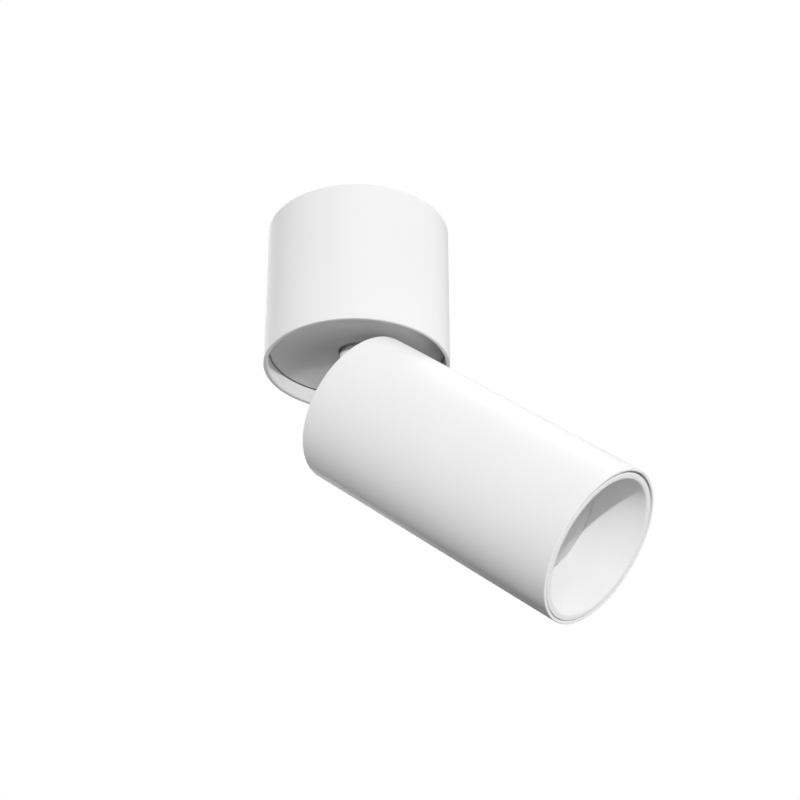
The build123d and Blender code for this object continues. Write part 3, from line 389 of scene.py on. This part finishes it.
finishes = {
    "shell_white": powder_coat("shell_powder_coat", (0.87, 0.87, 0.872), roughness=0.52,
                               peel=0.022),
    "ring_white": powder_coat("ring_powder_coat", (0.86, 0.86, 0.862), roughness=0.44,
                              peel=0.012),
    "zinc_sheet": zinc_sheet("zinc_plated_sheet"),
    "zinc_screw": zinc_screw("zinc_plated_screw"),
    "brass": brass("turned_brass"),
    "nylon": moulded("natural_nylon", (0.80, 0.78, 0.71), (0.90, 0.89, 0.84), roughness=0.42,
                     grain=0.4, depth=0.012, Subsurface_Weight=0.1,
                     Subsurface_Radius=(0.002, 0.002, 0.0015)),
    "grey_plastic": moulded("grey_moulding", (0.28, 0.28, 0.29), (0.38, 0.38, 0.39),
                            roughness=0.5, grain=0.25, depth=0.02),
    "black_rubber": rubber("black_rubber"),
    "lead_sleeve": sleeve("lead_sleeving"),
    "steatite": steatite("pressed_steatite"),
    "lamp_plastic": moulded("lamp_cap_moulding", (0.83, 0.83, 0.82), (0.89, 0.89, 0.88),
                            roughness=0.26, grain=1.5, depth=0.01),
    "lamp_aluminium": lamp_metal("lamp_aluminium"),
    "frosted_glass": frosted_lens("etched_lens"),
}


def finish_nodes():
    """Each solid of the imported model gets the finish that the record's slot names."""
    for part in frame["record"]["subparts"]:
        mesh = frame["nodes"][part["node"]].data
        mesh.materials.clear()
        mesh.materials.append(finishes[part["material_slot"]])


finish_nodes()


# ------------------------------------------------------------------ surfaces
MERGE_DISTANCE = 0.5e-6
CRISP_ANGLE = 32
ROUND_STEPS = 9
LARGE_ROUND = 256


def grid_faces(rows, columns, round_rows, round_columns):
    """The four-sided faces of a grid of points; a round direction joins its end to its start."""
    i = np.arange(rows if round_rows else rows - 1)[:, None]
    j = np.arange(columns if round_columns else columns - 1)[None, :]
    next_i, next_j = (i + 1) % rows, (j + 1) % columns
    corners = [i * columns + j, next_i * columns + j,
               next_i * columns + next_j, i * columns + next_j]
    return np.stack([np.broadcast_to(c, (i.size, j.size)) for c in corners], -1).reshape(-1, 4)


def make_piece(name, shells, slot, body, replaced):
    """An object of closed shells, each a grid of points with its rounds; doubles merge, faces
    point outwards, and edges sharper than the crisp angle stay crisp."""
    points, faces, start = [], [], 0
    for grid, round_rows, round_columns in shells:
        rows, columns = grid.shape[:2]
        points.append(grid.reshape(-1, 3))
        faces.append(grid_faces(rows, columns, round_rows, round_columns) + start)
        start += rows * columns
    mesh = bpy.data.meshes.new(name)
    mesh.from_pydata(np.concatenate(points).tolist(), [], np.concatenate(faces).tolist())
    work = bmesh.new()
    work.from_mesh(mesh)
    bmesh.ops.remove_doubles(work, verts=work.verts, dist=MERGE_DISTANCE)
    bmesh.ops.recalc_face_normals(work, faces=work.faces)
    work.to_mesh(mesh)
    work.free()
    mesh.shade_smooth()
    mesh.set_sharp_from_angle(angle=radians(CRISP_ANGLE))
    mesh.materials.append(finishes[slot])
    piece = bpy.data.objects.new(name, mesh)
    show.collection.objects.link(piece)
    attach(piece, body)
    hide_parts(*replaced)


def soft_profile(corners):
    """A closed profile through corners (radius, station, round): each corner becomes an arc
    drawn as a quadratic curve from one of its runs to the other, starting a round away."""
    corners = np.array(corners)
    spots, rounds = corners[:, :2], corners[:, 2:]
    before, after = np.roll(spots, 1, 0) - spots, np.roll(spots, -1, 0) - spots
    before /= np.linalg.norm(before, axis=1, keepdims=True)
    after /= np.linalg.norm(after, axis=1, keepdims=True)
    t = np.linspace(0, 1, ROUND_STEPS)[None, :, None]
    enter, leave = (spots + before * rounds)[:, None], (spots + after * rounds)[:, None]
    middle = spots[:, None]
    return ((1 - t) ** 2 * enter + 2 * t * (1 - t) * middle + t**2 * leave).reshape(-1, 2)


def turned(profile, count, around="head", centre=(0.0, 0.0)):
    """A profile (radius, station) carried round an axis: at angle a the point is the station
    along the axis, plus the radius times cos a one way and sin a the other. The axis is the
    head's, or stands upright at a place on the plan."""
    angle = np.linspace(0, 2 * pi, count, endpoint=False)[:, None]
    radius, station = profile[None, :, 0], profile[None, :, 1]
    grid = np.stack([radius * np.cos(angle) + centre[0], radius * np.sin(angle) + centre[1],
                     np.broadcast_to(station, (count, len(profile)))], -1)
    return from_head(grid) if around == "head" else grid


# ------------------------------------------------------------------ front ring, cone and lens
RING_HANG = -0.24 * MM * HEAD_UP + 0.1 * MM * HEAD_SIDE


def make_front_ring():
    """The turned front ring. Its section runs over the face, round the lip into the cone, and
    back along the outside past the band's groove; corners are quadratic curves and the groove
    is a circle's arc. The ring hangs a little low in the tube's bore."""
    front = in_head(points_of("front_ring"))[:, 2].max() / MM
    mouth, flange, collar, neck, tail, cone_end = 26.1, 28.35, 27.5, 26.16, 23.9, 22.6
    flange_back, collar_back = front - 2.5, front - 7.0
    ring_back, cone_back = front - 21.0, front - 19.7
    corners = [
        (mouth, front, 0.75),
        (flange, front, 0.4),
        (flange, flange_back, 0.25),
        (collar, flange_back, 0.1),
        (collar, collar_back, 0.5),
        (neck, collar_back, 0.5),
        (tail, ring_back, 0.3),
        (cone_end, ring_back, 0.15),
        (cone_end, cone_back, 0.4),
    ]
    corners_before_groove, groove_points = 4, 25
    band_centre, band_middle, groove_round, lip_angle = 26.95, front - 4.75, 0.85, 50
    angle = np.radians(np.linspace(lip_angle, 360 - lip_angle, groove_points))
    groove = np.stack([band_centre + groove_round * np.cos(angle),
                       band_middle + groove_round * np.sin(angle)], -1)
    profile = np.insert(soft_profile(corners), corners_before_groove * ROUND_STEPS, groove,
                        axis=0)
    grid = turned(profile * MM, LARGE_ROUND) + RING_HANG
    make_piece("front_ring_turned", [(grid, True, True)], "ring_white", "ring", ["front_ring"])


def make_lens():
    """The lamp's lens: a shallow dome, its height falling with the square of the radius, that
    stands up from a thin rim into the cone's end, with a flat back."""
    spots = in_head(points_of("lamp_lens")) / MM
    back, face = spots[:, 2].min(), spots[:, 2].max()
    rim = np.hypot(spots[:, 0], spots[:, 1]).max()
    edge_round, dome, dome_edge, stand = 0.3, 0.2, 21.9, 0.85
    dome_steps, edge_steps, lens_round = 40, 8, 192
    radius = np.linspace(0, dome_edge, dome_steps)
    top = np.stack([radius, face + stand + dome * (1 - (radius / dome_edge) ** 2)], -1)
    angle = np.linspace(pi / 2, 0, edge_steps)
    curve = edge_round * np.stack([np.cos(angle), np.sin(angle)], -1)
    shoulder = (dome_edge, face + stand - edge_round) + curve
    edge = (rim - edge_round, face - edge_round) + curve
    profile = np.concatenate([top, shoulder[1:], [(shoulder[-1, 0], face)], edge,
                              [(rim, back), (0, back)]])
    grid = turned(profile * MM, lens_round)
    make_piece("lens_domed", [(grid, True, False)], "frosted_glass", "head", ["lamp_lens"])


make_front_ring()
make_lens()


# ------------------------------------------------------------------ base shell and cover disc
def make_base_shell():
    """The base's tube. Round the axis its section is an outer wall, a lower rim with a small
    outer and a wide inner curve, and an inner wall with a groove behind the cover disc's edge,
    which makes the dark line round the disc. Where a point of the outer wall is nearer
    to a side screw's middle than the hole's radius it is sunk towards the axis; points about a
    cell away from the hole's edge are drawn onto it, so that the edge is round."""
    radius, bottom, wall, groove_depth = 36.0, -60.4, 1.7, 1.0
    bore, groove = radius - wall, radius - wall + groove_depth
    groove_bottom, groove_top = -54.25, -52.2
    ceiling_round, rim_round, inner_round, groove_round = 0.15, 0.3, 0.85, 0.1
    corners = [
        (radius, 0, ceiling_round),
        (radius, bottom, rim_round),
        (bore, bottom, inner_round),
        (bore, groove_bottom, groove_round),
        (groove, groove_bottom, groove_round),
        (groove, groove_top, groove_round),
        (bore, groove_top, groove_round),
        (bore, 0, ceiling_round),
    ]
    drop, hole, sink = -10.0, 2.05, 1.5
    fine, fine_cells, snap_share = 0.12, 24, 0.55
    coarse_start, coarse_steps = 4.7, 110
    section = soft_profile(corners)
    reach = fine * np.arange(-fine_cells, fine_cells + 1)
    fine_wall = np.stack([np.full(reach.size, radius), drop - reach], -1)
    section = np.insert(section, ROUND_STEPS, fine_wall, axis=0)
    coarse = np.linspace(coarse_start, 180 - coarse_start, coarse_steps)
    near = np.degrees(reach / radius)
    angle = np.radians(np.concatenate([near, coarse, near + 180, coarse + 180]))
    plan = np.broadcast_to(section[None, :, 0], (angle.size, len(section))).copy()
    height = np.broadcast_to(section[None, :, 1], plan.shape).copy()
    side = (angle + pi / 2) % pi - pi / 2
    across = np.broadcast_to(side[:, None] * radius, plan.shape)
    up = height - drop
    away = np.maximum(np.hypot(across, up), 1e-6)
    outside = plan > radius - 1e-6
    snap = snap_share * fine
    drawn = outside & (np.abs(away - hole) < snap)
    scale = np.where(drawn, hole / away, 1.0)
    turn = angle[:, None] + across * (scale - 1) / radius
    height = np.where(drawn, drop + up * scale, height)
    plan = np.where(outside & (away < hole - snap), radius - sink, plan)
    grid = np.stack([plan * np.cos(turn), plan * np.sin(turn), height], -1) * MM
    make_piece("base_shell_tube", [(grid, True, True)], "shell_white", "base", ["base_shell"])


def make_cover_disc():
    """The disc in the base's rim: a plate with curved edges whose hole has a low collar turned
    up round the neck, and three bored bosses."""
    bottom, top, edge, hole = -54.1, -52.5, 33.75, 7.1
    collar, collar_top = hole + 1.1, top + 2.2
    plate = soft_profile([
        (edge, bottom, 0.25),
        (edge, top, 0.2),
        (collar, top, 0.3),
        (collar, collar_top, 0.2),
        (hole, collar_top, 0.3),
        (hole, bottom, 0.7),
    ])
    shells = [(turned(plate * MM, LARGE_ROUND, "upright"), True, True)]
    boss_bore, boss_radius, boss_root, boss_top = 1.6, 3.0, top - 0.4, top + 3.0
    boss = soft_profile([
        (boss_bore, boss_root, 0.1),
        (boss_radius, boss_root, 0.1),
        (boss_radius, boss_top, 0.4),
        (boss_bore, boss_top, 0.3),
    ])
    boss_circle, boss_round = 26.0 * MM, 48
    for turn in (90, 210, 330):
        place = (boss_circle * cos(radians(turn)), boss_circle * sin(radians(turn)))
        shells.append((turned(boss * MM, boss_round, "upright", place), True, True))
    make_piece("cover_disc_pressed", shells, "shell_white", "base", ["cover_disc"])


make_base_shell()
make_cover_disc()


# ------------------------------------------------------------------ nut and slotted screws
SLOT_DRAFT = 0.01 * MM
PAN_SLOT_HALF, PAN_SLOT_DEPTH = 0.17, 0.45
PAN_DOME, PAN_RIM, PAN_ROOT = 0.22, 0.45, 0.3
PLUG_SLOT_HALF, PLUG_SLOT_DEPTH = 0.25, 0.8 * MM
PLUG_LENGTH, PLUG_ROOT, PLUG_RIM, PLUG_SHANK = 1.6 * MM, 1.4 * MM, 0.25 * MM, 0.97
THREAD_PITCH, THREAD_DEPTH, THREAD_ROUND = 0.45 * MM, 0.09, 40
TIP_LENGTH, TIP_TAPER = 0.35 * MM, 0.25
HEAD_STEPS, HEAD_COLUMNS = 12, 25


def make_nut():
    """The swivel's hexagonal nut. At angle a the side is the flats' distance over the cosine of
    the angle from the flat's middle, cut by a cone that widens from each face; the bore is round
    and countersunk."""
    spots = points_of("swivel_nut")
    plan = np.hypot(spots[:, 0], spots[:, 1])
    corner, bore = spots[plan.argmax()], plan.min()
    bottom, top = spots[:, 2].min(), spots[:, 2].max()
    flat = plan.max() * cos(pi / 6)
    chamfer, sink, face_share = 0.9 * MM, 0.4 * MM, 0.96
    per_side, side, chamfer_steps = 16, pi / 3, 7
    step = np.linspace(0, chamfer, chamfer_steps)
    rise = np.concatenate([step, (top - bottom) - step[::-1]])
    angle = np.arange(6 * per_side) * side / per_side
    hexagon = flat / np.cos(angle % side - side / 2)
    from_face = np.minimum(rise, top - bottom - rise)
    cone = face_share * flat + from_face / np.tan(pi / 6)
    outer = np.minimum(hexagon[:, None], cone[None, :])
    inner = np.broadcast_to([bore + sink, bore, bore, bore + sink], (angle.size, 4))
    inner_rise = np.array([top, top - sink, bottom + sink, bottom])
    radius = np.concatenate([outer, inner], 1)
    height = np.broadcast_to(np.concatenate([bottom + rise, inner_rise]), radius.shape)
    turn = angle[:, None] + np.arctan2(corner[1], corner[0])
    grid = np.stack([radius * np.cos(turn), radius * np.sin(turn), height], -1)
    make_piece("hexagon_nut", [(grid, True, True)], "zinc_screw", "neck", ["swivel_nut"])


def slotted_head(centre, bottom, top, radius, slot, dome, rim, turn):
    """A screw head with a straight slot across it. Rows step across the slot and columns go
    round each row's section. At y off the slot's middle a row reaches the square root of
    R^2 - y^2 to each side; its top falls with the square of the distance from the axis and
    rounds off at the rim, and between the slot's walls it is flat and lower. The slot is given
    by half its width and its depth."""
    half, depth = slot
    swing = np.linspace(0, np.arccos(half / radius), HEAD_STEPS)
    y = -radius * np.cos(swing)
    y = np.concatenate([y, [SLOT_DRAFT - half, half - SLOT_DRAFT], -y[::-1]])
    lowered = np.zeros(y.size, bool)
    lowered[HEAD_STEPS:HEAD_STEPS + 2] = True
    reach = np.sqrt(np.maximum(radius**2 - y**2, 0))
    x = reach[:, None] * np.sin(np.linspace(-pi / 2, pi / 2, HEAD_COLUMNS))[None, :]
    away = np.hypot(x, y[:, None])
    past = np.clip(away - (radius - rim), 0, rim)
    height = top - dome * (away / radius) ** 2 - (rim - np.sqrt(rim**2 - past**2))
    height = np.where(lowered[:, None], top - depth, height)
    x = np.concatenate([x, reach[:, None], -reach[:, None]], 1)
    height = np.concatenate([height, np.full((y.size, 2), bottom)], 1)
    y = np.broadcast_to(y[:, None], x.shape)
    grid = np.stack([centre[0] + x * cos(turn) - y * sin(turn),
                     centre[1] + x * sin(turn) + y * cos(turn), height], -1)
    return grid, False, True


def shank(centre, bottom, top, radius):
    """A screw's shank: at angle a and height z the radius swings between the thread's crest and
    its root with z over the pitch less a over a full turn, and it tapers at the tip."""
    rows = 6 * round((top - bottom) / THREAD_PITCH) + 2
    angle = np.linspace(0, 2 * pi, THREAD_ROUND, endpoint=False)[:, None]
    rise = np.linspace(bottom, top, rows)[None, :]
    phase = (rise - bottom) / THREAD_PITCH - angle / (2 * pi)
    wave = THREAD_DEPTH * radius * np.abs(2 * (phase - np.floor(phase)) - 1)
    taper = TIP_TAPER * radius * np.clip(1 - (rise - bottom) / TIP_LENGTH, 0, 1)
    radii = radius - wave - taper
    radii = np.concatenate([np.zeros_like(angle), radii, np.zeros_like(angle)], 1)
    rise = np.broadcast_to(np.concatenate([rise[:, :1], rise, rise[:, -1:]], 1), radii.shape)
    grid = np.stack([centre[0] + radii * np.cos(angle), centre[1] + radii * np.sin(angle),
                     rise], -1)
    return grid, True, False


def make_pan_screws(node, across, head_height, turns):
    """Pan-headed screws in place of a node's screws: a domed slotted head over a threaded
    shank, each with its slot left at another angle."""
    spots = points_of(node)
    tip_layer = 0.01 * MM
    shells = []
    for (low, high), turn in zip(cells(node, across, 1), turns):
        centre, radius = (low + high)[:2] / 2, (high - low)[0] / 2
        under = high[2] - head_height
        plan = np.hypot(*(spots[:, :2] - centre).T)
        thread = plan[spots[:, 2] < low[2] + tip_layer].min()
        slot = PAN_SLOT_HALF * radius, PAN_SLOT_DEPTH * (high[2] - under)
        shells.append(slotted_head(centre, under, high[2], radius, slot,
                                   PAN_DOME * head_height, PAN_RIM * head_height, turn))
        shells.append(shank(centre, low[2], under + PAN_ROOT * head_height, thread))
    make_piece(node + "_slotted", shells, "zinc_screw", "base", [node])


def make_terminal_screws():
    """The terminal block's six headless clamping screws, each a slotted plug on a short tip."""
    shells = []
    turns = (0.3, 1.9, 0.9, 2.6, 1.3, 0.1)
    for (low, high), turn in zip(cells("terminal_screws", 3, 2), turns):
        centre, radius = (low + high)[:2] / 2, (high - low)[0] / 2
        slot = PLUG_SLOT_HALF * radius, PLUG_SLOT_DEPTH
        shells.append(slotted_head(centre, high[2] - PLUG_LENGTH, high[2], radius, slot, 0,
                                   PLUG_RIM, turn))
        shells.append(shank(centre, low[2], high[2] - PLUG_ROOT, PLUG_SHANK * radius))
    make_piece("terminal_screws_slotted", shells, "zinc_screw", "base", ["terminal_screws"])


make_nut()
make_terminal_screws()
make_pan_screws("earth_screw", 1, 2.4 * MM, [0.6])
make_pan_screws("block_screws", 2, 1.5 * MM, [0.4, 2.2])
make_pan_screws("cord_clamp_screws", 2, 1.5 * MM, [1.1, 0.2])


# ------------------------------------------------------------------ floor
FLOOR_REACH, FLOOR_LEVEL = 6.0, -1.5
FLOOR_SEEN = 0.82


def make_floor():
    """A plain pale floor far below the light; it is pale to the camera and sends up little
    light."""
    mesh = bpy.data.meshes.new("floor")
    corners = [(x * FLOOR_REACH, y * FLOOR_REACH, FLOOR_LEVEL)
               for x, y in ((-1, -1), (1, -1), (1, 1), (-1, 1))]
    mesh.from_pydata(corners, [], [(0, 1, 2, 3)])
    floor = bpy.data.objects.new("floor", mesh)
    show.collection.objects.link(floor)
    finish = Finish("pale_floor", Roughness=0.9)
    clouds = finish.noise(size=600, detail=2.0)
    finish.set("Base Color", finish.ramp(clouds, grey(0.22), grey(0.27)))
    glow = finish.node("Emission", {"Color": (*grey(FLOOR_SEEN), 1)})
    seen = finish.node("LightPath", {}, out="Is Camera Ray")
    both = finish.node("MixShader", {0: seen, 1: finish.shader.outputs["BSDF"], 2: glow})
    out = finish.tree.nodes["Material Output"]
    finish.tree.links.new(both, out.inputs["Surface"])
    mesh.materials.append(finish.material)


make_floor()
